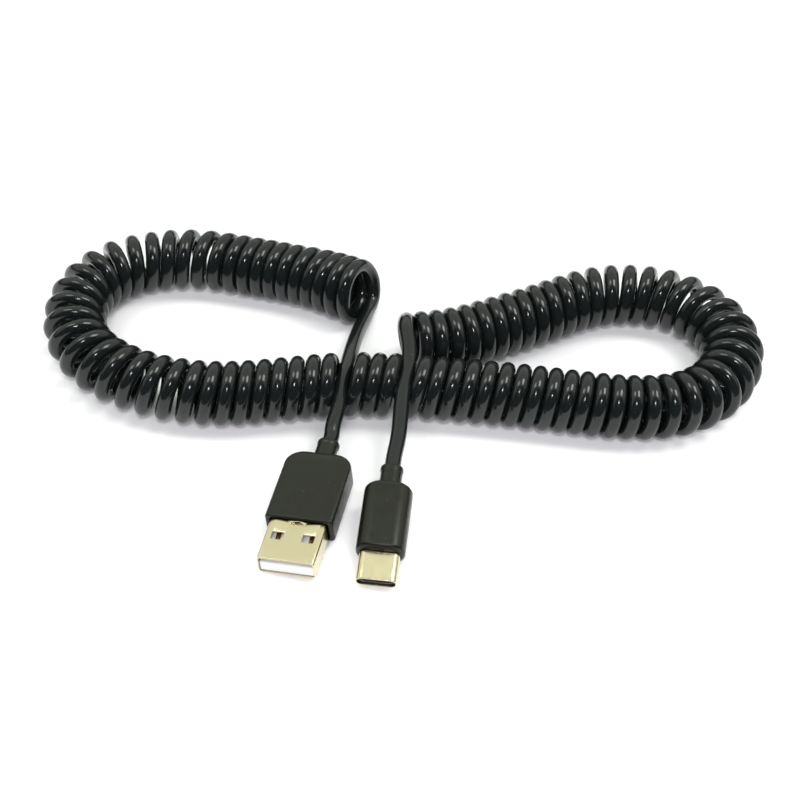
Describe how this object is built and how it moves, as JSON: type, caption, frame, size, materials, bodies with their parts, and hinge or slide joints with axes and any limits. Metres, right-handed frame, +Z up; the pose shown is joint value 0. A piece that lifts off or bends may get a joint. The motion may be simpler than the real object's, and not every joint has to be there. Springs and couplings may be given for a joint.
{
  "type": "coiled USB cable",
  "caption": "Curly black charging cable lying in two loops, with a USB-A plug on one straight tail and a USB-C plug on the other.",
  "frame": {"origin": "on the floor, under the middle of the cable's box as it lies", "axes": "+X runs along the two loops, from the one at the USB-A end to the one at the USB-C end; the plugs point to -Y; +Z is up"},
  "size_m": [0.1642, 0.1037, 0.0186],
  "materials": {
    "black_cord": "glossy soft PVC jacket",
    "black_housing": "smooth moulded",
    "nickel": "warm nickel plate",
    "white_plastic": "moulded insulator",
    "black_plastic": "moulded insulator",
    "gold": "gold-plated contacts"
  },
  "bodies": {
    "root": {"coiled_cord": "black_cord", "usb_a_tail": "black_cord", "usb_c_tail": "black_cord", "usb_a_housing": "black_housing", "usb_a_strain_relief": "black_housing", "usb_a_shell": "nickel", "usb_a_insulator": "white_plastic", "usb_a_contact_1": "gold", "usb_a_contact_2": "gold", "usb_a_contact_3": "gold", "usb_a_contact_4": "gold", "usb_c_housing": "black_housing", "usb_c_strain_relief": "black_housing", "usb_c_shell": "nickel", "usb_c_insulator": "black_plastic"}
  },
  "joints": []
}
